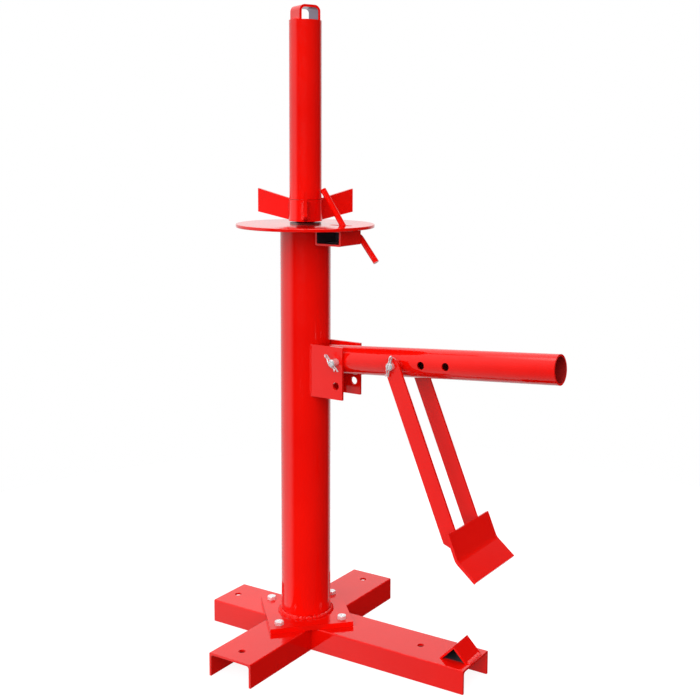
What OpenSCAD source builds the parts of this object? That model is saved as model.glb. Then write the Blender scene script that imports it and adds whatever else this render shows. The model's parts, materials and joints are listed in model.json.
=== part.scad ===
// Bead breaker: a floor stand with a wheel disc, a screw-down centring cone and a
// lever that pushes a hinged shoe down on to a tyre's bead. Millimetres, +Z up.
// The origin is on the column's axis at floor level. The long beam and the lever
// lie along +X, and the two short legs along Y.

/* [Base] */
// Width of the channel that every leg is made of
channel_w = 80; // [70:1:90]
// Height of the channel
channel_h = 37; // [32:0.5:42]
// Wall of the channel
channel_t = 3.5; // [2.5:0.5:4]
// Reach of the long beam in front of the column
beam_front = 316; // [260:1:380]
// Reach of the long beam behind the column
beam_rear = 163; // [150:1:220]
// Reach of the leg on the -Y side
front_reach = 192; // [160:1:240]
// Reach of the leg on the +Y side
rear_reach = 198; // [160:1:240]
// Diameter of the floor anchor holes
anchor_d = 11; // [9:0.5:13]
// Distance from each end of the base to its anchor hole, on the short legs
anchor_in = 29; // [24:1:36]

/* [Column] */
// Outer diameter of the column tube
column_d = 80; // [74:0.5:82]
// Height of the wheel disc's top face
disc_top = 680; // [600:1:760]
// Diameter of the wheel disc
disc_d = 218.6; // [180:0.2:260]
// Side of the square plate under the column
plate_side = 133; // [125:1:145]
// Distance from the column's axis to each plate bolt
bolt_r = 71.5; // [66:0.5:76]

/* [Centre post and cone] */
// Outer diameter of the centre post
post_d = 50.8; // [48:0.1:52]
// Height of the top of the centre post
post_top = 995.5; // [900:0.5:1100]
// Height of the loop on top of the post
loop_h = 23; // [20:0.5:30]
// Width of the loop
loop_w = 36; // [30:0.5:36]
// Depth of the loop's strip
loop_depth = 32; // [26:0.5:32]
// Outer diameter of the cone's collar
collar_d = 52.8; // [52:0.1:53]
// Reach of the three cone blades from the axis
blade_reach = 86.5; // [70:0.5:100]
// How far the screw lifts the post and the cone
lift = 60; // [30:1:80]

/* [Lever] */
// Outer diameter of the lever tube
lever_d = 44.5; // [40:0.1:45]
// Height of the lever's pivot
pivot_z = 470.5; // [440:1:520]
// Distance from the column's axis to the lever's pivot
pivot_x = 77.5; // [74:0.5:84]
// Rise of the resting lever
lever_rise = 4; // [0:0.5:6]
// Length of the lever beyond its pivot
lever_len = 365; // [300:1:450]
// Distance from the pivot to the first of the three shoe holes
hole_first = 107.8; // [95:0.1:120]
// Pitch of the three shoe holes
hole_pitch = 42; // [36:1:48]
// Diameter of the pins' holes
pin_hole_d = 12; // [10:0.1:14]

/* [Shoe] */
// Lean of the resting straps, outwards from the vertical
strap_lean = 22.8; // [0:0.2:30]
// Width of each strap
strap_w = 26; // [22:1:30]
// Half of the gap between the straps
strap_gap = 33; // [30:0.5:38]
// Width of the shoe
shoe_w = 124; // [90:1:150]
// Distance from the strap pin to the shoe's top edge
shoe_from = 256; // [220:1:300]
// Angle of the shoe's flared lip
lip_angle = 28; // [15:1:35]

/* [Locking rod] */
// Diameter of the locking rod
rod_d = 9.5; // [8:0.5:10]
// Lean of the rod's upper arm towards the post
rod_lean = 34.7; // [30:0.1:36]
// Length of the rod's upper arm
rod_up = 86; // [70:1:86]
// Length of the rod's lower arm
rod_down = 53; // [40:1:70]

/* [Hidden] */
$fn = 64;
eps = 0.01;
wire_joint = 0.1;
bend_r = 2;
root_r = 4;
leg_gap = 1;
anchor_front = beam_front - 96;
anchor_back = beam_rear - 19;

plate_t = 8;
plate_top = channel_h + plate_t;
bolt_d = 8;
bolt_hole_d = 9;
bolt_head_h = 5.3;
bolt_len = 25;
nut_h = 6.5;
hex_af = 13;
washer_d = 16;
washer_t = 1.6;

column_r = column_d / 2;
column_wall = 3;
disc_t = 5;
disc_under = disc_top - disc_t;
foot_weld_w = 6;
disc_weld_w = 5;

rest_leg = 33.3;
rest_t = 3;
rest_len = 45.8;
rest_pos = [288, 2.6];
rest_turn = 1.9;

ear_t = 4;
ear_in = 22.9;
ear_low = 411;
ear_high = 494;
ear_end = 89.6;
spare_z = pivot_z - 38;
ear_bead_r = 3;

sleeve_w = 47.5;
sleeve_h = 25;
sleeve_t = 3;
sleeve_front = -29;
sleeve_rear = 26;
sleeve_x = column_r + 0.05;
sleeve_end_t = 3;
sleeve_end_y = 20.9;
slot_w = 12;
slot_from = 44;
slot_to = 84.4;
rod_x = 79.2;
rod_z = 664;
rod_front = 5;
rod_rear = 33;
rod_bend = 8;
rod_low_lean = 38.7;

spindle_d = 30;
spindle_bore = 30.1;
spindle_high = 745;
thread_pitch = 6;
thread_depth = 2.4;
nut_low = 640;
spindle_low = nut_low - lift - 20;
disc_bore = 31;
thrust_d = 49.5;
thrust_t = 2.4;
collar_low = 684.8;
collar_high = 718.7;
post_low = 719.1;
post_wall = 2.6;
plug_h = 20;
cap_t = 2.5;
blade_t = 5;
blade_turn = -53.5;
blade_low = 696.5;
blade_high = 734;
blade_bead_r = 2.2;
loop_t = 4;
loop_turn = -27;
loop_r = 10;

lever_r = lever_d / 2;
lever_wall = 3;
heel_low = 38.7;
heel_high = 28.3;
pin_d = pin_hole_d - 0.1;
pin_head_d = 18;
pin_head_t = 4;
pin_chamfer = 1.5;
clip_hole_d = 2.8;
clip_d = 2.2;
clip_in = 4.5;
clip_head_r = 3;
clip_head_z = 13.5;
clip_tail = 16.5;
clip_wave = 40;
clip_neck_r = 2.5;
clip_flick = 3;
pivot_pin_end = 41;
strap_pin_end = 45;
pivot_clip_lean = -41;
strap_clip_lean = 12;

strap_t = 4;
strap_short = 271.5;
strap_long = 296;
shoe_t = 5;
shoe_flat = 36;
shoe_bend_r = 22;
lip_len = 35;
shoe_bead = 3.5;

// ---- shared shapes ----

// A rectangle standing on its lower edge, with its two upper corners rounded
module arch_outline(w, h, r) {
    translate([-w / 2, 0]) square([w, h - r]);
    translate([-w / 2 + r, 0]) square([w - 2 * r, h]);
    for (side = [-1, 1]) translate([side * (w / 2 - r), h - r]) circle(r);
}

// The channel's section, open at the bottom
module channel_outline() {
    difference() {
        arch_outline(channel_w, channel_h, bend_r);
        translate([0, -eps]) arch_outline(channel_w - 2 * channel_t,
            channel_h - channel_t + eps, root_r);
    }
}

// A length of channel along +X, starting at the origin
module channel(length) {
    rotate([90, 0, 90]) linear_extrude(length) channel_outline();
}

// A hole down through a channel's web
module web_hole(x, d) {
    translate([x, 0, channel_h - channel_t - 1]) cylinder(h = channel_t + 2, d = d);
}

// A cylinder along Y between two Y values, at the given X and Z
module rod_y(x, z, y0, y1, d) {
    translate([x, y0, z]) rotate([-90, 0, 0]) cylinder(h = y1 - y0, d = d);
}

// A ring of triangular section in the corner of a tube and a flat face
module fillet_ring(tube_r, width, z, up) {
    rotate_extrude() polygon([
        [tube_r, z], [tube_r + width, z], [tube_r + 0.35 * width, z + up * 0.35 * width],
        [tube_r, z + up * width]
    ]);
}

module at_plate_bolts() {
    for (turn = [0 : 90 : 270]) rotate(turn) translate([bolt_r, 0, 0]) children();
}

module hexagon(af, h) {
    cylinder(h = h, d = af / cos(30), $fn = 6);
}

// A bend of round wire in the YZ plane: about a centre, from one angle to another
module wire_bend(d, centre, r, from, to) {
    short = atan(wire_joint / r);
    translate([0, centre.x, centre.y]) rotate([90, 0, 90]) rotate(from + short)
        rotate_extrude(angle = to - from - 2 * short) translate([r, 0]) circle(d = d, $fn = 24);
}

// A straight piece of round wire in the YZ plane: from a point, at an angle
module wire_line(d, from, angle, length) {
    translate([0, from.x, from.y]) rotate([angle - 90, 0, 0]) translate([0, 0, wire_joint])
        cylinder(h = length - 2 * wire_joint, d = d, $fn = 24);
}

// The wire's joints, a hair thicker than the wire so that its pieces make one solid
module wire_joints(d, points) {
    for (p = points) translate([0, p.x, p.y]) sphere(d = d + 0.06, $fn = 24);
}

function around(centre, r, angle) = centre + r * [cos(angle), sin(angle)];

// The lever's own frame: its axis along +X, with the pivot at the origin
module lever_frame() {
    translate([pivot_x, 0, pivot_z]) rotate([0, -lever_rise, 0]) children();
}

// The straps' own frame: the strap pin at the origin, with the straps hanging down -Z
module strap_frame() {
    translate([strap_pin_x, 0, strap_pin_z]) rotate([0, -strap_lean, 0]) children();
}

strap_pin_x = pivot_x + hole_first * cos(lever_rise);
strap_pin_z = pivot_z + hole_first * sin(lever_rise);

// ---- base ----

module long_beam() {
    color("red") difference() {
        translate([-beam_rear, 0, 0]) channel(beam_front + beam_rear);
        web_hole(anchor_front, anchor_d);
        web_hole(-anchor_back, anchor_d);
        web_hole(bolt_r, bolt_hole_d);
        web_hole(-bolt_r, bolt_hole_d);
    }
}

// A short leg, a hair clear of the long beam's side
module short_leg(turn, reach) {
    root = channel_w / 2 + leg_gap;
    color("red") rotate(turn) difference() {
        translate([root, 0, 0]) channel(reach - root);
        web_hole(reach - anchor_in, anchor_d);
        web_hole(bolt_r, bolt_hole_d);
    }
}

module rest_frame() {
    translate([rest_pos.x, rest_pos.y, channel_h]) rotate(rest_turn) children();
}

rest_half = rest_leg * cos(45);

// The angle on the long beam, with its ridge along Y
module rest_angle() {
    inner = rest_half - rest_t / cos(45);
    color("red") rest_frame() rotate([90, 0, 0]) linear_extrude(rest_len, center = true)
        polygon([
            [-rest_half, 0], [0, rest_half], [rest_half, 0],
            [inner, 0], [0, inner], [-inner, 0]
        ]);
}

// The bead along the angle's outer foot
module rest_weld() {
    bead = 3.5;
    color("red") rest_frame() rotate([90, 0, 0]) linear_extrude(rest_len - 6, center = true)
        polygon([
            [rest_half, 0], [rest_half + bead, 0], [rest_half + 1, 2.5], [rest_half - 2.5, 2.5]
        ]);
}

module post_plate() {
    color("red") difference() {
        translate([0, 0, channel_h]) rotate(45)
            translate([-plate_side / 2, -plate_side / 2, 0]) cube([plate_side, plate_side, plate_t]);
        at_plate_bolts() translate([0, 0, channel_h - 1]) cylinder(h = plate_t + 2, d = bolt_hole_d);
    }
}

module plate_bolts() {
    color("silver") at_plate_bolts() {
        translate([0, 0, plate_top]) intersection() {
            hexagon(hex_af, bolt_head_h);
            cylinder(h = bolt_head_h, d1 = hex_af + 2 * bolt_head_h + 4, d2 = hex_af + 0.4);
        }
        translate([0, 0, plate_top - bolt_len]) cylinder(h = bolt_len + eps, d = bolt_d);
    }
}

under_web = channel_h - channel_t;

module plate_washers() {
    color("silver") at_plate_bolts() translate([0, 0, under_web - washer_t]) difference() {
        cylinder(h = washer_t, d = washer_d);
        translate([0, 0, -1]) cylinder(h = washer_t + 2, d = bolt_d + 0.4);
    }
}

module plate_nuts() {
    color("silver") at_plate_bolts() translate([0, 0, under_web - washer_t - nut_h]) difference() {
        hexagon(hex_af, nut_h);
        translate([0, 0, -1]) cylinder(h = nut_h + 2, d = bolt_d + 0.02);
    }
}

// ---- column ----

module column_tube() {
    color("red") translate([0, 0, plate_top]) difference() {
        cylinder(h = disc_under - plate_top, r = column_r, $fn = 96);
        translate([0, 0, -1]) cylinder(h = disc_under, r = column_r - column_wall, $fn = 96);
    }
}

module foot_weld() {
    color("red") fillet_ring(column_r, foot_weld_w, plate_top, 1);
}

// One ear of the lever's clevis, cut to the column's round
module bracket_plate(side) {
    color("red") difference() {
        translate([column_r * 0.6, side > 0 ? ear_in : -ear_in - ear_t, ear_low])
            cube([ear_end - column_r * 0.6, ear_t, ear_high - ear_low]);
        translate([0, 0, ear_low - 1]) cylinder(h = ear_high - ear_low + 2, r = column_r, $fn = 96);
        for (z = [pivot_z, spare_z]) rod_y(pivot_x, z, -40, 40, pin_hole_d);
    }
}

module bracket_welds() {
    bead_y = ear_in + ear_t + 1.2;
    color("red") for (side = [-1, 1]) difference() {
        translate([sqrt(pow(column_r, 2) - pow(bead_y, 2)) + 1.2, side * bead_y, ear_low + 2])
            cylinder(h = ear_high - ear_low - 4, r = ear_bead_r, $fn = 24);
        cylinder(h = disc_under, r = column_r, $fn = 96);
        translate([0, side > 0 ? 0 : -ear_in - ear_t, ear_low])
            cube([ear_end, ear_in + ear_t, ear_high - ear_low]);
    }
}

module disc_slot() {
    translate([0, rod_front, disc_under - sleeve_t - 1]) linear_extrude(disc_t + sleeve_t + 2) {
        for (x = [slot_from + slot_w / 2, slot_to - slot_w / 2])
            translate([x, 0]) circle(d = slot_w);
        translate([slot_from + slot_w / 2, -slot_w / 2]) square([slot_to - slot_from - slot_w, slot_w]);
    }
}

module wheel_disc() {
    chamfer = 0.6;
    color("red") difference() {
        rotate_extrude($fn = 128) polygon([
            [disc_bore / 2, disc_under], [disc_d / 2 - chamfer, disc_under],
            [disc_d / 2, disc_under + chamfer], [disc_d / 2, disc_top - chamfer],
            [disc_d / 2 - chamfer, disc_top], [disc_bore / 2, disc_top]
        ]);
        disc_slot();
    }
}

module disc_weld() {
    color("red") difference() {
        fillet_ring(column_r, disc_weld_w, disc_under, -1);
        translate([sleeve_x - 0.5, sleeve_front - 0.1, disc_under - sleeve_h])
            cube([sleeve_w, sleeve_rear - sleeve_front + 0.2, sleeve_h + 1]);
    }
}

// The rectangular tube that holds the locking rod under the disc
module rod_sleeve() {
    corner = 2;
    length = sleeve_rear - sleeve_front;
    color("red") difference() {
        translate([sleeve_x, sleeve_rear, disc_under - sleeve_h]) rotate([90, 0, 0])
            linear_extrude(length) difference() {
                union() {
                    translate([corner, 0]) square([sleeve_w - 2 * corner, sleeve_h]);
                    translate([0, corner]) square([sleeve_w, sleeve_h - 2 * corner]);
                    for (x = [corner, sleeve_w - corner], y = [corner, sleeve_h - corner])
                        translate([x, y]) circle(corner);
                }
                translate([sleeve_t, sleeve_t])
                    square([sleeve_w - 2 * sleeve_t, sleeve_h - 2 * sleeve_t]);
            }
        disc_slot();
    }
}

// The plate that closes the sleeve's rear end and carries the locking rod
module sleeve_end() {
    color("red") difference() {
        translate([sleeve_x + sleeve_t, sleeve_end_y, disc_under - sleeve_h + sleeve_t])
            cube([sleeve_w - 2 * sleeve_t, sleeve_end_t, sleeve_h - 2 * sleeve_t]);
        rod_y(rod_x, rod_z, sleeve_end_y - 1, sleeve_end_y + sleeve_end_t + 1, rod_d + 0.16);
    }
}

// The threaded bush inside the column's top
module column_nut() {
    color("dimgray") translate([0, 0, nut_low]) difference() {
        cylinder(h = disc_under - nut_low, r = column_r - column_wall);
        translate([0, 0, -1]) cylinder(h = disc_under, d = spindle_bore);
    }
}

module thrust_washer() {
    color("silver") translate([0, 0, disc_top]) difference() {
        cylinder(h = thrust_t, d = thrust_d);
        translate([0, 0, -1]) cylinder(h = thrust_t + 2, d = disc_bore);
    }
}

// ---- locking rod ----

// A round rod bent twice: a cross part along Y with an arm up at its -Y end and an
// arm down at its +Y end
module lock_rod() {
    up_bend = rod_front + rod_bend;
    down_bend = rod_rear - rod_bend;
    color("red") translate([rod_x, 0, rod_z]) {
        rotate([0, -rod_lean, 0]) {
            wire_line(rod_d, [rod_front, rod_bend], 90, rod_up - rod_bend);
            wire_bend(rod_d, [up_bend, rod_bend], rod_bend, 180, 270);
            wire_joints(rod_d, [[rod_front, rod_bend], [up_bend, 0]]);
        }
        wire_line(rod_d, [up_bend, 0], 0, down_bend - up_bend);
        rotate([0, 180 - rod_low_lean, 0]) {
            wire_line(rod_d, [rod_rear, rod_bend], 90, rod_down - rod_bend);
            wire_bend(rod_d, [down_bend, rod_bend], rod_bend, 270, 360);
            wire_joints(rod_d, [[rod_rear, rod_bend], [down_bend, 0]]);
        }
    }
}

// ---- cone ----

module cone_collar() {
    color("red") translate([0, 0, collar_low]) difference() {
        cylinder(h = collar_high - collar_low, d = collar_d);
        translate([0, 0, -1]) cylinder(h = collar_high, d = spindle_bore);
    }
}

// A slanted blade that stands out from the collar
module cone_blade(index) {
    color("red") rotate(blade_turn + 120 * index) difference() {
        translate([0, blade_t / 2, 0]) rotate([90, 0, 0]) linear_extrude(blade_t) polygon([
            [collar_d / 2 - 2, collar_low], [blade_reach, blade_low],
            [blade_reach, blade_high], [collar_d / 2 - 2, collar_high]
        ]);
        cylinder(h = disc_top * 2, d = collar_d);
    }
}

module cone_welds() {
    color("red") for (index = [0 : 2], side = [-1, 1])
        rotate(blade_turn + 120 * index) difference() {
            translate([collar_d / 2 - 0.2, side * (blade_t / 2 + 0.4), collar_low + 3])
                cylinder(h = collar_high - collar_low - 3, r = blade_bead_r, $fn = 24);
            cylinder(h = disc_top * 2, d = collar_d);
            translate([0, -blade_t / 2, 0]) cube([blade_reach, blade_t, disc_top * 2]);
        }
}

// ---- centre post ----

turns = floor((collar_low - spindle_low) / thread_pitch);

// The screw: a plain neck in the cone's collar, and a thread drawn as rings below it
module post_spindle() {
    r = spindle_d / 2;
    color("gray") rotate_extrude() polygon(concat(
        [[0, spindle_low - 3], [r - thread_depth, spindle_low - 3]],
        [for (i = [0 : turns - 1], step = [0 : 3]) [
            step == 0 || step == 3 ? r - thread_depth : r,
            spindle_low + thread_pitch * (i + [0.05, 0.35, 0.6, 0.9][step])
        ]],
        [[r, collar_low], [r, spindle_high], [0, spindle_high]]
    ));
}

module post_plug() {
    color("gray") translate([0, 0, post_low]) difference() {
        cylinder(h = plug_h, r = post_d / 2 - post_wall);
        translate([0, 0, -1]) cylinder(h = plug_h + 2, d = spindle_d);
    }
}

module post_tube() {
    color("red") translate([0, 0, post_low]) difference() {
        cylinder(h = post_top - cap_t - post_low, d = post_d, $fn = 96);
        translate([0, 0, -1]) cylinder(h = post_top, r = post_d / 2 - post_wall, $fn = 96);
    }
}

module post_cap() {
    color("red") translate([0, 0, post_top - cap_t]) cylinder(h = cap_t, d = post_d, $fn = 96);
}

// The bent strip on top of the post that takes a turning bar
module post_loop() {
    color("red") translate([0, 0, post_top]) rotate(loop_turn + 90)
        rotate([90, 0, 0]) linear_extrude(loop_depth, center = true) difference() {
            arch_outline(loop_w, loop_h, loop_r);
            translate([0, -eps])
                arch_outline(loop_w - 2 * loop_t, loop_h - loop_t + eps, loop_r - loop_t);
        }
}

// ---- lever ----

module lever_tube() {
    heel_tilt = atan((heel_low - heel_high) / lever_d);
    color("red") lever_frame() difference() {
        translate([-heel_low - 5, 0, 0]) rotate([0, 90, 0])
            cylinder(h = lever_len + heel_low + 5, r = lever_r, $fn = 96);
        translate([-heel_low - 6, 0, 0]) rotate([0, 90, 0])
            cylinder(h = lever_len + heel_low + 7, r = lever_r - lever_wall, $fn = 96);
        translate([-heel_low, 0, -lever_r]) rotate([0, heel_tilt, 0])
            translate([-30, -lever_d, -20]) cube([30, 2 * lever_d, 4 * lever_d]);
        for (x = [0, hole_first, hole_first + hole_pitch, hole_first + 2 * hole_pitch])
            rod_y(x, 0, -lever_d, lever_d, pin_hole_d);
    }
}

// A clevis pin at the origin, with its head on the +Y side and a cross hole at its end
module clevis_pin(end, head_at, clip_lean) {
    difference() {
        union() {
            rod_y(0, 0, pin_chamfer - end, head_at + eps, pin_d);
            translate([0, pin_chamfer - end, 0]) rotate([90, 0, 0])
                cylinder(h = pin_chamfer, r1 = pin_d / 2, r2 = pin_d / 2 - pin_chamfer);
            rod_y(0, 0, head_at, head_at + pin_head_t, pin_head_d);
        }
        translate([0, clip_in - end, 0]) rotate([0, clip_lean, 0])
            translate([0, 0, -pin_d]) cylinder(h = 2 * pin_d, d = clip_hole_d, $fn = 24);
    }
}

// An R-clip: a straight leg through the pin, a round head, and a second leg that
// bends in under the head, passes the pin's end in a hump and bends in again
module r_clip(end, clip_lean) {
    head = [-clip_head_r, clip_head_z];
    head_end = around(head, clip_head_r, 180 + clip_wave);
    neck = around(head_end, clip_neck_r, 180 + clip_wave);
    neck_end = around(neck, clip_neck_r, -clip_wave);
    hump_r = neck_end.y / sin(clip_wave);
    hump = around(neck_end, hump_r, -clip_wave);
    low_neck = [neck.x, -neck.y];
    low_end = around(low_neck, clip_neck_r, -clip_wave);
    translate([0, clip_in - end, 0]) rotate([0, clip_lean, 0]) {
        wire_line(clip_d, [0, -clip_tail], 90, clip_tail + clip_head_z);
        wire_bend(clip_d, head, clip_head_r, 0, 180 + clip_wave);
        wire_bend(clip_d, neck, clip_neck_r, -clip_wave, clip_wave);
        wire_bend(clip_d, hump, hump_r, 180 - clip_wave, 180 + clip_wave);
        wire_bend(clip_d, low_neck, clip_neck_r, -clip_wave, clip_wave);
        wire_line(clip_d, low_end, -90 - clip_wave, clip_flick);
        wire_joints(clip_d, [
            [0, clip_head_z], head_end, neck_end, [neck_end.x, -neck_end.y], low_end
        ]);
    }
}

module pivot_pin() {
    color("silver") translate([pivot_x, 0, pivot_z])
        clevis_pin(pivot_pin_end, ear_in + ear_t + 0.3, pivot_clip_lean);
}

module pivot_clip() {
    color("silver") translate([pivot_x, 0, pivot_z]) r_clip(pivot_pin_end, pivot_clip_lean);
}

module strap_pin() {
    color("silver") translate([strap_pin_x, 0, strap_pin_z])
        clevis_pin(strap_pin_end, strap_gap + strap_t + 0.4, strap_clip_lean);
}

module strap_clip() {
    color("silver") translate([strap_pin_x, 0, strap_pin_z]) r_clip(strap_pin_end, strap_clip_lean);
}

// ---- straps and shoe ----

// A flat strap with a round top and a slanted lower end
module strap(y) {
    color("red") strap_frame() translate([0, y + strap_t, 0]) rotate([90, 0, 0])
        linear_extrude(strap_t) difference() {
            union() {
                circle(d = strap_w);
                polygon([
                    [-strap_w / 2, 0], [-strap_w / 2, -strap_short],
                    [strap_w / 2, -strap_long], [strap_w / 2, 0]
                ]);
            }
            circle(d = pin_hole_d);
        }
}

// The shoe's lip starts where the bend ends
lip_at = [
    shoe_bend_r * (1 - cos(lip_angle)),
    -shoe_from - shoe_flat - shoe_bend_r * sin(lip_angle)
];

// The shoe: a plate across both straps' outer edges, bent out to a lip
module shoe() {
    bend_at = [strap_w / 2 + shoe_bend_r, -shoe_from - shoe_flat];
    color("red") strap_frame() translate([0, shoe_w / 2, 0]) rotate([90, 0, 0])
        linear_extrude(shoe_w) {
            translate([strap_w / 2, -shoe_from - shoe_flat]) square([shoe_t, shoe_flat]);
            translate(bend_at) intersection() {
                difference() {
                    circle(shoe_bend_r);
                    circle(shoe_bend_r - shoe_t);
                }
                polygon([
                    [0, 0], [-2 * shoe_bend_r, 0],
                    [-2 * shoe_bend_r, -2 * shoe_bend_r * tan(lip_angle)]
                ]);
            }
            translate([strap_w / 2, 0] + lip_at) rotate(lip_angle)
                translate([0, -lip_len]) square([shoe_t, lip_len]);
        }
}

// The beads between the straps' outer faces and the back of the shoe
module shoe_welds() {
    color("red") strap_frame() for (side = [-1, 1])
        translate([strap_w / 2, side * (strap_gap + strap_t), -shoe_from - 34])
            linear_extrude(30) polygon([[0, 0], [-shoe_bead, 0], [0, side * shoe_bead]]);
}

// ---- parts ----

long_beam();
short_leg(-90, front_reach);  // front_leg
short_leg(90, rear_reach);  // rear_leg
rest_angle();
rest_weld();
post_plate();
plate_bolts();
plate_washers();
plate_nuts();
column_tube();
foot_weld();
bracket_plate(-1);  // bracket_plate_front
bracket_plate(1);  // bracket_plate_rear
bracket_welds();
pivot_pin();
pivot_clip();
wheel_disc();
disc_weld();
rod_sleeve();
sleeve_end();
column_nut();
thrust_washer();
lock_rod();
cone_collar();
cone_blade(0);  // cone_blade_1
cone_blade(1);  // cone_blade_2
cone_blade(2);  // cone_blade_3
cone_welds();
post_spindle();
post_plug();
post_tube();
post_cap();
post_loop();
lever_tube();
strap_pin();
strap_clip();
strap(-strap_gap - strap_t);  // strap_front
strap(strap_gap);  // strap_rear
shoe();
shoe_welds();
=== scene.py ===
"""Looks of the bead breaker: paint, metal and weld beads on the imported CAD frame.

Metres, in the CAD part's own frame: +Z up from the floor, +X along the lever.
"""

import json
import math
import random

import bmesh
import bpy
from mathutils import Matrix, Vector


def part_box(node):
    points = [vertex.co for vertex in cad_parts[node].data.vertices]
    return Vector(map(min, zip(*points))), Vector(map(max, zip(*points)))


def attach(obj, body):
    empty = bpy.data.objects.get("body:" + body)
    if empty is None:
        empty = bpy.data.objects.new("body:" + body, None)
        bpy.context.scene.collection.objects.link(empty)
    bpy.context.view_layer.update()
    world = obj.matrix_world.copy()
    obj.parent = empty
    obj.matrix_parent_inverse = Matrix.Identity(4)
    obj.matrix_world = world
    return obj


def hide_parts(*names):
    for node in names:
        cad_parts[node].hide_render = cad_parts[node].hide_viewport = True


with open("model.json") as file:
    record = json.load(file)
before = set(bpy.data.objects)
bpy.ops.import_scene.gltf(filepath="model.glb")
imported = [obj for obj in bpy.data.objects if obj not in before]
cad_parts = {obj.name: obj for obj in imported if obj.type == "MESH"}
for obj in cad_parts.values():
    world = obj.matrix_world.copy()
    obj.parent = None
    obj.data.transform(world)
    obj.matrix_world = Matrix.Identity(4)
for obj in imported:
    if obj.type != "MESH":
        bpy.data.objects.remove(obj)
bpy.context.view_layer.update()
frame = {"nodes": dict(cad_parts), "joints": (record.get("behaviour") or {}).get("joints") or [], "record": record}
nodes = frame["nodes"]

MM = 0.001
UP = Vector((0, 0, 1))


# ---- places worked out from the CAD nodes ----


def middle(node):
    """Centre of a CAD node's box."""
    low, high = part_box(node)
    return (low + high) / 2


def half_width(node):
    """Half of a CAD node's width along X, which is the radius of an upright tube."""
    low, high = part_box(node)
    return (high.x - low.x) / 2


def joint_place(name):
    """The stated point on a hinge's axis."""
    return Vector(next(j["pos_m"] for j in frame["joints"] if j["name"] == name))


COLUMN_R = half_width("column_tube")
COLLAR_R = half_width("cone_collar")
PLATE_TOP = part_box("post_plate")[1].z
DISC_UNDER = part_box("wheel_disc")[0].z
POST_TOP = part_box("post_cap")[1].z
BEAM_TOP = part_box("long_beam")[1].z
LEVER_AXIS = (joint_place("shoe_swing") - joint_place("lever_swing")).normalized()

# Sizes and angles that the CAD part is drawn with and that no node's box gives.
# The cone's blades:
BLADE_T = 5 * MM
# The angle on the beam: its turn about the vertical, half its width, and its length
REST_TURN = math.radians(1.9)
REST_HALF = 23.55 * MM
REST_LONG = 45.8 * MM
REST_FOOT = Vector((middle("rest_angle").x, middle("rest_angle").y, BEAM_TOP))
REST_ALONG = Vector((-math.sin(REST_TURN), math.cos(REST_TURN), 0))
# The loop on the post: the way that a bar goes through it, and the way its width is measured
LOOP_TURN = math.radians(63)
LOOP_ALONG = Vector((-math.sin(LOOP_TURN), math.cos(LOOP_TURN), 0))
LOOP_OUT = Vector((math.cos(LOOP_TURN), math.sin(LOOP_TURN), 0))
LOOP_W = 36 * MM
# The straps: their lean from the vertical, their width, and how far down the shoe starts
STRAP_LEAN = math.radians(22.8)
STRAP_W = 26 * MM
SHOE_FROM = 256 * MM


# ---- materials ----


def rgb(r, g, b):
    return (r, g, b, 1.0)


RED = rgb(0.84, 0.0042, 0.0012)
RED_DEEP = rgb(0.78, 0.0030, 0.0010)
WHITE = rgb(1, 1, 1)

# Painted shade: near black inside the sleeve and the angle and on the beam under the angle, dark red inside the
# lever, and over the bare grey metal inside the loop
SHADE_UNDER_REST = rgb(0.035, 0.030, 0.036)
SHADED_BARE_LOOP = rgb(0.21, 0.17, 0.23)
SHADE_IN_SLEEVE = rgb(0.035, 0.028, 0.038)
SHADE_IN_REST = rgb(0.045, 0.040, 0.050)
SHADE_IN_LEVER = rgb(0.30, 0.004, 0.004)

# The index of refraction of the enamel's clear surface
ENAMEL_IOR = 1.5


class Nodes:
    """The emptied node tree of a material or a world."""

    def __init__(self, owner):
        owner.use_nodes = True
        self.tree = owner.node_tree
        self.tree.nodes.clear()

    def add(self, kind, **settings):
        node = self.tree.nodes.new("ShaderNode" + kind)
        for key, value in settings.items():
            setattr(node, key, value)
        return node

    def link(self, output, socket):
        self.tree.links.new(output, socket)

    def put(self, value, socket):
        """A link where value is another node's output, and a constant where it isn't."""
        if isinstance(value, bpy.types.NodeSocket):
            self.link(value, socket)
        else:
            socket.default_value = value

    def math(self, operation, a, b=0.0):
        node = self.add("Math", operation=operation)
        self.put(a, node.inputs[0])
        self.put(b, node.inputs[1])
        return node.outputs[0]

    def vector(self, operation, a, b=(0, 0, 0), output="Vector"):
        node = self.add("VectorMath", operation=operation)
        self.put(a, node.inputs[0])
        self.put(b, node.inputs[1])
        return node.outputs[output]

    def dot(self, a, b):
        return self.vector("DOT_PRODUCT", a, b, output="Value")

    def place(self, kind="Object"):
        return self.add("TexCoord").outputs[kind]

    def span(self, value, low, high, to_low, to_high, kind="LINEAR"):
        """value from low..high carried to to_low..to_high, and held there."""
        node = self.add("MapRange", interpolation_type=kind)
        for socket, v in zip(node.inputs, (value, low, high, to_low, to_high)):
            self.put(v, socket)
        return node.outputs[0]


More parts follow.
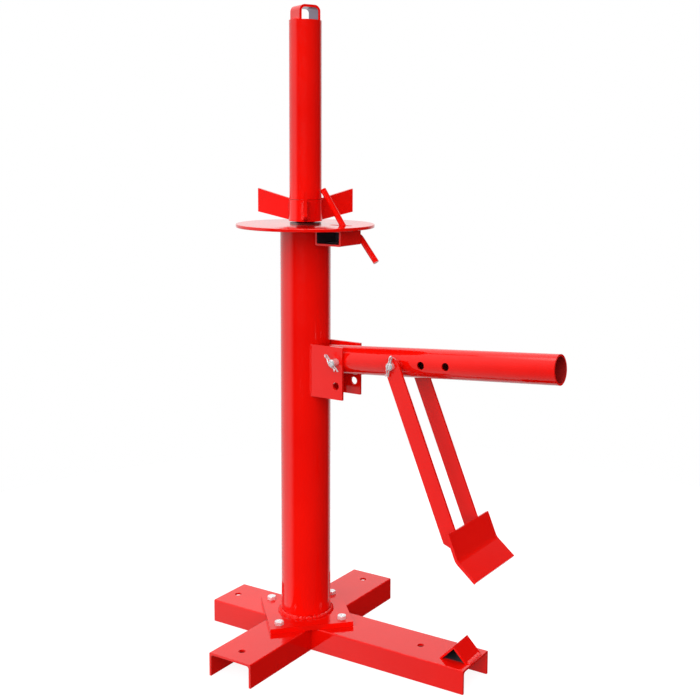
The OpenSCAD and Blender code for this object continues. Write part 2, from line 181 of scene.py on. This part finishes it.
class Paint(Nodes):
    """A new material with a principled shader."""

    def __init__(self, name):
        self.material = bpy.data.materials.new(name)
        super().__init__(self.material)
        output = self.add("OutputMaterial")
        self.shader = self.add("BsdfPrincipled")
        self.link(self.shader.outputs[0], output.inputs["Surface"])

    def noise(self, scale, detail=3.0, stretch=None):
        """Noise in object space, from 0 to 1; stretch scales the three axes."""
        where = self.place()
        if stretch:
            where = self.vector("MULTIPLY", where, stretch)
        node = self.add("TexNoise")
        self.link(where, node.inputs["Vector"])
        node.inputs["Scale"].default_value = scale
        node.inputs["Detail"].default_value = detail
        return node.outputs[0]

    def mix(self, share, a, b):
        """Colour a where share is 0, and b where it is 1."""
        node = self.add("Mix", data_type="RGBA")
        self.put(share, node.inputs[0])
        self.put(a, node.inputs[6])
        self.put(b, node.inputs[7])
        return node.outputs[2]

    def cloudy(self, scale, a, b, low=0.35, high=0.65, **noise):
        """Colours a and b in soft patches, turning over where the noise is low to high."""
        return self.mix(self.span(self.noise(scale, **noise), low, high, 0.0, 1.0), a, b)

    def uneven(self, scale, least, most, **noise):
        """A roughness that wanders from least to most over the noise's middle."""
        return self.span(self.noise(scale, **noise), 0.3, 0.7, least, most)

    def bump(self, height, distance, strength, under=None):
        node = self.add("Bump")
        node.inputs["Strength"].default_value = strength
        node.inputs["Distance"].default_value = distance
        self.link(height, node.inputs["Height"])
        if under:
            self.link(under, node.inputs["Normal"])
        return node.outputs[0]

    def set(self, **sockets):
        for key, value in sockets.items():
            self.put(value, self.shader.inputs[key.replace("_", " ")])


def inner_mask(g, point, axis):
    """1 on the faces that look towards a line through point along axis, and 0 elsewhere."""
    axis = Vector(axis).normalized()
    out = g.vector("SUBTRACT", g.place(), tuple(point))
    shift = g.add("VectorMath", operation="SCALE")
    shift.inputs[0].default_value = tuple(axis)
    g.link(g.dot(out, tuple(axis)), shift.inputs["Scale"])
    out = g.vector("NORMALIZE", g.vector("SUBTRACT", out, shift.outputs[0]))
    return g.span(g.dot(out, g.place("Normal")), -0.35, -0.25, 1.0, 0.0)


def footprint_mask(g, centre, along, half_along, half_across):
    """1 on the top face inside a rectangle about centre, fading towards its open ends."""
    out = g.vector("SUBTRACT", g.place(), tuple(centre))

    def reach(direction):
        return g.math("ABSOLUTE", g.dot(out, tuple(direction)))

    ends = g.span(reach(along), half_along - 6 * MM, half_along - 1 * MM, 1.0, 0.0)
    sides = g.span(reach(along.cross(UP)), half_across - 1 * MM, half_across, 1.0, 0.0)
    level = g.span(reach(UP), 0.2 * MM, 0.4 * MM, 1.0, 0.0)
    return g.math("MULTIPLY", g.math("MULTIPLY", ends, sides), level)


def enamel(g, shade_mask=None, shade_colour=None, shade_rough=0.0, shade_metal=0.0):
    """Glossy red enamel over steel on g's shader, with painted shade where the mask is 1."""
    colour = g.cloudy(7.0, RED, RED_DEEP, detail=2.0)
    rough = g.uneven(45.0, 0.05, 0.10)
    # orange peel, and the slow waves of paint laid over rolled steel
    peel = g.bump(g.noise(520.0, detail=1.0), 0.00004, strength=0.5)
    waves = g.bump(g.noise(38.0, detail=1.0), 0.0004, strength=0.35, under=peel)
    # painted shade: where the mask is 1 the colour turns to the given dark one, at least the given roughness, and
    # metallic if given
    if shade_mask:
        colour = g.mix(shade_mask, colour, shade_colour)
        rough = g.math("MAXIMUM", rough, g.math("MULTIPLY", shade_mask, shade_rough))
        if shade_metal:
            g.set(Metallic=g.math("MULTIPLY", shade_mask, shade_metal))
    g.set(Base_Color=colour, Roughness=rough, Normal=waves, IOR=ENAMEL_IOR)
    return g.material


def red_paint():
    return enamel(Paint("red_paint"))


def beam_paint():
    """The beam's enamel, with painted shade on the patch under the angle."""
    g = Paint("red_paint_beam_shaded")
    # painted shade: the beam's top under the angle is near black, fading out towards the angle's open ends
    patch = footprint_mask(g, REST_FOOT, REST_ALONG, REST_LONG / 2, REST_HALF)
    return enamel(g, patch, SHADE_UNDER_REST, 0.5)


def shade_lined_paint(name, point, axis, shade_colour, shade_rough, shade_metal=0.0):
    """The enamel of a hollow piece, with painted shade on the faces that look at its own axis."""
    g = Paint(name)
    return enamel(g, inner_mask(g, point, axis), shade_colour, shade_rough, shade_metal)


def zinc():
    """Bright zinc plate, with a faint cloudy tone and fine drawn lines."""
    g = Paint("zinc")
    g.set(
        Base_Color=g.cloudy(160.0, rgb(0.92, 0.92, 0.94), rgb(0.82, 0.82, 0.84)),
        Metallic=0.6,
        Roughness=g.uneven(900.0, 0.18, 0.34, stretch=(1, 0.08, 1)),
        Normal=g.bump(g.noise(1500.0, stretch=(1, 0.06, 1)), 0.00003, strength=0.5),
    )
    return g.material


def dark_steel():
    """Turned steel with an oily film, for the screw and its bush."""
    g = Paint("dark_steel")
    g.set(
        Base_Color=g.cloudy(90.0, rgb(0.36, 0.35, 0.34), rgb(0.24, 0.23, 0.22), 0.3, 0.7),
        Metallic=1.0,
        Roughness=g.uneven(300.0, 0.25, 0.42),
        Normal=g.bump(g.noise(800.0, stretch=(0.2, 0.2, 6)), 0.00003, strength=0.5),
    )
    return g.material


def shadowed_paint():
    """Painted shade on the plate inside the sleeve: near black and matt."""
    g = Paint("shadowed_paint")
    g.set(
        Base_Color=g.cloudy(60.0, rgb(0.040, 0.030, 0.042), rgb(0.026, 0.020, 0.028)),
        Roughness=g.uneven(220.0, 0.45, 0.62),
        Normal=g.bump(g.noise(700.0), 0.00003, strength=0.4),
    )
    return g.material


def weld_paint():
    """Paint over a weld: the same red, a little rougher, with small spatter."""
    g = Paint("weld_paint")
    g.set(
        Base_Color=g.mix(g.noise(130.0), RED, RED_DEEP),
        Roughness=g.uneven(400.0, 0.12, 0.26),
        IOR=ENAMEL_IOR,
        Normal=g.bump(g.noise(800.0, detail=2.0), 0.0003, strength=0.8),
    )
    return g.material


def floor_white():
    """A pale floor that glows enough to merge with the white room."""
    g = Paint("floor_white")
    g.set(
        Base_Color=g.mix(g.noise(3.0), rgb(0.22, 0.22, 0.22), rgb(0.20, 0.20, 0.202)),
        Emission_Color=WHITE,
        Emission_Strength=0.9,
        Roughness=0.85,
    )
    return g.material


# ---- weld beads ----

WELD = weld_paint()

# How far apart the rings of points are that make up a bead
LINE_STEP = 0.45 * MM
CIRCLE_STEP = 0.5 * MM
# Faces across a bead, how far its foot is sunk into the metal, and how many rings one
# wander of its size takes
BEAD_ARC = 8
BEAD_SINK = 0.3 * MM
BEAD_WANDER = 6
# How far the crest of a ripple runs ahead in the middle of the bead, in pitches
CREST_AHEAD = 0.45
# An open bead's size at its tips as a share, and what each ring from there adds
TIP_SHARE, TIP_STEP = 0.45, 0.14
# The wander of a bead laid by hand in plain sight
LUMPY = 0.16


def bead(name, path, out, up, size, body, stands_for=None, closed=False, pitch=2.6 * MM,
         uneven=0.05, depth=0.17, seed=1):
    """A rippled weld bead along path, a list of points in the corner of two faces.

    out and up give, for a step's number, the directions of the two faces away from the
    corner; size is the bead's reach along each, and uneven how much that wanders. The
    ripples are crescents of one pitch, cut in by depth as a share of the size.
    """
    draw = random.Random(seed)
    rings, length = [], 0.0
    wobble = [draw.uniform(-1, 1) for _ in range(len(path) // BEAD_WANDER + 3)]
    for i, point in enumerate(path):
        if i:
            length += (point - path[i - 1]).length
        o, u = out(i).normalized(), up(i).normalized()
        part = i / BEAD_WANDER
        near, share = int(part), part - int(part)
        swell = 1 + uneven * (wobble[near] * (1 - share) + wobble[near + 1] * share)
        taper = 1.0
        if not closed:
            end = min(i, len(path) - 1 - i)
            taper = min(1.0, TIP_SHARE + TIP_STEP * end)
        ring = [point - (o + u) * BEAD_SINK]
        for k in range(BEAD_ARC + 1):
            turn = math.pi / 2 * k / BEAD_ARC
            phase = (length / pitch + CREST_AHEAD * math.sin(2 * turn)) % 1.0
            ripple = 1 - depth * phase ** 1.5
            reach = size * swell * taper * ripple
            ring.append(point + o * (reach * math.cos(turn) - BEAD_SINK)
                        + u * (reach * math.sin(turn) - BEAD_SINK))
        rings.append(ring)
    n = len(rings[0])
    points = [p for ring in rings for p in ring]
    faces = []
    steps = len(rings) if closed else len(rings) - 1
    for i in range(steps):
        a, b = i * n, ((i + 1) % len(rings)) * n
        for k in range(n):
            m = (k + 1) % n
            faces.append((a + k, b + k, b + m, a + m))
    if not closed:
        faces.append(tuple(range(n)))
        faces.append(tuple(reversed(range((len(rings) - 1) * n, len(rings) * n))))
    piece(name, points, faces, body, stands_for)


def piece(name, points, faces, body, stands_for):
    """A painted mesh that rides on a body, with its normals outwards."""
    mesh = bpy.data.meshes.new(name)
    mesh.from_pydata([tuple(p) for p in points], [], faces)
    work = bmesh.new()
    work.from_mesh(mesh)
    bmesh.ops.recalc_face_normals(work, faces=work.faces)
    work.to_mesh(mesh)
    work.free()
    mesh.shade_smooth()
    obj = bpy.data.objects.new(name, mesh)
    bpy.context.scene.collection.objects.link(obj)
    mesh.materials.append(WELD)
    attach(obj, body)
    if stands_for:
        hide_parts(*stands_for)


def line(start, end):
    """Points from start to end, about a step apart."""
    count = max(2, round((end - start).length / LINE_STEP))
    return [start.lerp(end, i / count) for i in range(count + 1)]


def circle(radius, z, from_deg=0.0, to_deg=360.0):
    """Points on a circle about the column's axis; a full turn leaves out the last one."""
    turn = math.radians(to_deg - from_deg)
    count = round(abs(turn) * radius / CIRCLE_STEP)
    whole = abs(to_deg - from_deg) >= 360
    points = []
    for i in range(count if whole else count + 1):
        angle = math.radians(from_deg) + turn * i / count
        points.append(Vector((radius * math.cos(angle), radius * math.sin(angle), z)))
    return points


def radial(points):
    """For each step, the direction away from the column's axis."""
    return lambda i: Vector((points[i].x, points[i].y, 0))


def always(direction):
    """The same direction at each step."""
    return lambda i: Vector(direction)


def weld_column():
    """The ring at the column's foot, and the one under the disc, up to the rod's sleeve."""
    ring = circle(COLUMN_R, PLATE_TOP)
    bead("weld_column_foot", ring, radial(ring), always(UP), 5.4 * MM, "stand",
         ["foot_weld"], closed=True, pitch=3.6 * MM, uneven=LUMPY, depth=0.36, seed=3)
    ring = circle(COLUMN_R, DISC_UNDER, 34, 325)
    bead("weld_disc", ring, radial(ring), always(-UP), 4.6 * MM, "stand",
         ["disc_weld"], pitch=3.0 * MM, seed=5)


def weld_ears():
    """Up the column, on the outer face of each ear."""
    low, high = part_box("bracket_plate_front")[0].z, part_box("bracket_plate_front")[1].z
    ear_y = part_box("bracket_plate_rear")[1].y
    for side, end in ((-1, "front"), (1, "rear")):
        corner = Vector((math.sqrt(COLUMN_R ** 2 - ear_y ** 2), side * ear_y, 0))
        away = Vector((-side * corner.y, side * corner.x, 0))
        path = line(corner + UP * (low + 2 * MM), corner + UP * (high - 2 * MM))
        bead("weld_ear_" + end, path, always((1, 0, 0)), always(away), 2.2 * MM, "stand",
             ["bracket_welds"], pitch=2.2 * MM, seed=11 + side)


def weld_sleeve():
    """Two short beads where the rod's sleeve meets the disc."""
    low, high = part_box("rod_sleeve")
    for name, y in (("front", low.y + 3 * MM), ("rear", high.y - 15 * MM)):
        path = line(Vector((high.x, y, DISC_UNDER)), Vector((high.x, y + 12 * MM, DISC_UNDER)))
        bead("weld_sleeve_" + name, path, always((1, 0, 0)), always(-UP), 2.8 * MM, "stand",
             seed=17)


def weld_blades():
    """Up both sides of each blade's root on the cone's collar."""
    half = BLADE_T / 2
    low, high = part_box("cone_collar")[0].z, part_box("cone_collar")[1].z
    for index in range(3):
        centre = middle("cone_blade_%d" % (index + 1))
        along = Vector((centre.x, centre.y, 0)).normalized()
        for side in (-1, 1):
            across = UP.cross(along) * side
            corner = along * math.sqrt(COLLAR_R ** 2 - half ** 2) + across * half
            path = line(corner + UP * (low + 1.5 * MM), corner + UP * (high - 1.5 * MM))
            bead("weld_blade_%d_%s" % (index + 1, "ab"[side > 0]), path, always(along),
                 always(across), 4.2 * MM, "cone", ["cone_welds"], pitch=3.0 * MM,
                 uneven=LUMPY, depth=0.34, seed=20 + index)


def weld_rest():
    """Along the outer foot of the angle on the beam."""
    out = REST_ALONG.cross(UP)
    foot = REST_FOOT + out * REST_HALF
    path = line(foot - REST_ALONG * 20 * MM, foot + REST_ALONG * 20 * MM)
    bead("weld_rest", path, always(out), always(UP - out), 4.6 * MM, "stand",
         ["rest_weld"], pitch=3.0 * MM, seed=31)


def weld_loop():
    """The outer side of the loop's two feet on the post."""
    for side, end in ((-1, "a"), (1, "b")):
        foot = LOOP_OUT * side * LOOP_W / 2 + UP * POST_TOP
        path = line(foot - LOOP_ALONG * 12 * MM, foot + LOOP_ALONG * 12 * MM)
        bead("weld_loop_" + end, path, always(LOOP_OUT * side), always(UP), 3.0 * MM, "post",
             seed=41 + side)


def weld_shoe():
    """Behind the shoe, down each strap's outer face."""
    pin = joint_place("shoe_swing")
    down = Vector((math.sin(STRAP_LEAN), 0, -math.cos(STRAP_LEAN)))
    out = Vector((math.cos(STRAP_LEAN), 0, math.sin(STRAP_LEAN)))
    strap_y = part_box("strap_rear")[1].y
    for side, end in ((-1, "front"), (1, "rear")):
        corner = pin + out * STRAP_W / 2 + Vector((0, side * strap_y, 0))
        path = line(corner + down * (SHOE_FROM + 4 * MM), corner + down * (SHOE_FROM + 34 * MM))
        bead("weld_shoe_" + end, path, always(-out), always((0, side, 0)), 3.6 * MM,
             "breaker_arm", ["shoe_welds"], seed=51 + side)


# ---- the looks of the CAD nodes ----


def paint_nodes():
    """Each node's own paint where it has one, and else its material slot's."""
    by_slot = {"zinc": zinc(), "steel": dark_steel(), "red_paint": red_paint()}
    own = {
        # inside the loop: bare grey metal, its colour darkened with painted shade
        "post_loop": shade_lined_paint(
            "red_paint_loop_shaded", middle("post_loop"), LOOP_ALONG, SHADED_BARE_LOOP, 0.3, 0.9),
        # painted shade: near black on the sleeve's inner faces
        "rod_sleeve": shade_lined_paint(
            "red_paint_sleeve_shaded", middle("rod_sleeve"), (0, 1, 0), SHADE_IN_SLEEVE, 0.5),
        # painted shade on the plate at the sleeve's end
        "sleeve_end": shadowed_paint(),
        # painted shade: near black on the angle's inner faces
        "rest_angle": shade_lined_paint(
            "red_paint_rest_shaded", REST_FOOT, REST_ALONG, SHADE_IN_REST, 0.45),
        "long_beam": beam_paint(),
        # painted shade: a darker red inside the lever's tube
        "lever_tube": shade_lined_paint(
            "red_paint_lever_shaded", joint_place("lever_swing"), LEVER_AXIS, SHADE_IN_LEVER, 0.5),
    }
    slots = {row["node"]: row["material_slot"] for row in frame["record"]["subparts"]}
    for name, obj in nodes.items():
        obj.data.materials.clear()
        obj.data.materials.append(own.get(name) or by_slot[slots[name]])


# ---- floor, light and camera ----

FLOOR_R = 1.15
FLOOR_SIDES = 96
# A hair below the part's feet, so that the two faces don't flicker
FLOOR_AT = (0.1, 0, -0.0005)

# The room, as brightness: what reflections see of its walls, its dark side and the bright
# patch of its ceiling, and what falls on matt surfaces from above and from below
WALLS = 1.0
DARK_ROOM = 0.03
CEILING = 3.0
SKY = 0.53
GROUND = 0.18
# The dark side's heading in degrees, and where the three change over: the first from
# facing away from it to facing it, the others from down at -1 to up at 1
ROOM_HEADING = -20
DARK_EDGE = (-0.42, 0.08)
CEILING_EDGE = (0.84, 0.92)
MATT_EDGE = (-0.15, 0.15)

# Soft lights: name, heading and height in degrees, strength
LIGHTS = (("key", -75, 25, 0.82), ("back", 130, 60, 0.35))
LIGHT_SPREAD = math.radians(75)

# The camera as fitted to the photo: heading, pitch downwards and roll in degrees, lens and
# sensor in mm, and the sideways and upward shift of the frame in sensor widths
CAMERA_AT = (1.05, -1.4135, 0.8121)
CAMERA_TURN = (121.07, 6.58, 0.565)
CAMERA_LENS = 57.09
CAMERA_SENSOR = 36
CAMERA_SHIFT = (-0.0893, -0.1161)
CAMERA_CLIP = 100


def heading_to_way(heading, height):
    """The direction at a heading and a height, both in radians."""
    return Vector((math.cos(heading) * math.cos(height), math.sin(heading) * math.cos(height),
                   math.sin(height)))


def add_floor():
    mesh = bpy.data.meshes.new("floor")
    rim = [2 * math.pi * i / FLOOR_SIDES for i in range(FLOOR_SIDES)]
    mesh.from_pydata([(FLOOR_R * math.cos(a), FLOOR_R * math.sin(a), 0) for a in rim],
                     [], [tuple(range(FLOOR_SIDES))])
    floor = bpy.data.objects.new("floor", mesh)
    floor.location = FLOOR_AT
    # the floor neither mirrors nor glows on the paint, which takes its light from the room
    floor.visible_glossy = False
    floor.visible_diffuse = False
    bpy.context.scene.collection.objects.link(floor)
    mesh.materials.append(floor_white())


def add_soft_light(name, heading, height, strength):
    """An even light from far off that spreads over a wide part of the room; the
    reflections are left to the room's walls."""
    light = bpy.data.lights.new(name, "SUN")
    light.energy = strength * math.pi
    light.angle = LIGHT_SPREAD
    lamp = bpy.data.objects.new(name, light)
    way = heading_to_way(math.radians(heading), math.radians(height))
    lamp.location = way * 3
    lamp.rotation_euler = (-way).to_track_quat("-Z", "Y").to_euler()
    lamp.visible_glossy = False
    bpy.context.scene.collection.objects.link(lamp)


def add_world():
    """White to the camera, softly shaded from above to below on matt surfaces, and in
    reflections a white room with one dark side and a bright patch of ceiling."""
    world = bpy.data.worlds.new("studio")
    w = Nodes(world)

    def background(strength):
        node = w.add("Background")
        w.put(WHITE, node.inputs["Color"])
        w.put(strength, node.inputs["Strength"])
        return node.outputs[0]

    def either(share, a, b):
        node = w.add("MixShader")
        for socket, output in zip(node.inputs, (share, a, b)):
            w.link(output, socket)
        return node.outputs[0]

    way = w.place("Generated")
    room = math.radians(ROOM_HEADING)
    facing = w.dot(way, (math.cos(room), math.sin(room), 0))
    height = w.dot(way, (0, 0, 1))
    dark_side = w.span(facing, *DARK_EDGE, WALLS, DARK_ROOM, "SMOOTHSTEP")
    # the ceiling gives the welds and the bare metal their glints
    ceiling = w.span(height, *CEILING_EDGE, 0.0, CEILING, "SMOOTHSTEP")
    matt = w.span(height, *MATT_EDGE, GROUND, SKY, "SMOOTHSTEP")
    ray = w.add("LightPath")
    given = either(ray.outputs["Is Glossy Ray"], background(matt),
                   background(w.math("ADD", dark_side, ceiling)))
    seen = either(ray.outputs["Is Camera Ray"], given, background(1.0))
    w.link(seen, w.add("OutputWorld").inputs["Surface"])
    bpy.context.scene.world = world


def add_camera():
    """The photo's camera, a little above the disc, which shows as a thin ellipse."""
    heading, pitch, roll = (math.radians(a) for a in CAMERA_TURN)
    ahead = heading_to_way(heading, -pitch)
    right = Vector((math.sin(heading), -math.cos(heading), 0))
    top = right.cross(ahead)
    right, top = (math.cos(roll) * right + math.sin(roll) * top,
                  math.cos(roll) * top - math.sin(roll) * right)
    turn = Matrix((right, top, -ahead)).transposed().to_4x4()
    camera = bpy.data.cameras.new("camera")
    camera.lens = CAMERA_LENS
    camera.sensor_width = CAMERA_SENSOR
    camera.shift_x, camera.shift_y = CAMERA_SHIFT
    camera.clip_end = CAMERA_CLIP
    holder = bpy.data.objects.new("camera", camera)
    holder.matrix_world = Matrix.Translation(CAMERA_AT) @ turn
    bpy.context.scene.collection.objects.link(holder)
    bpy.context.scene.camera = holder


weld_column()
weld_ears()
weld_sleeve()
weld_blades()
weld_rest()
weld_loop()
weld_shoe()
paint_nodes()

add_floor()
add_world()
for row in LIGHTS:
    add_soft_light(*row)
add_camera()
bpy.context.scene.view_settings.view_transform = "Standard"
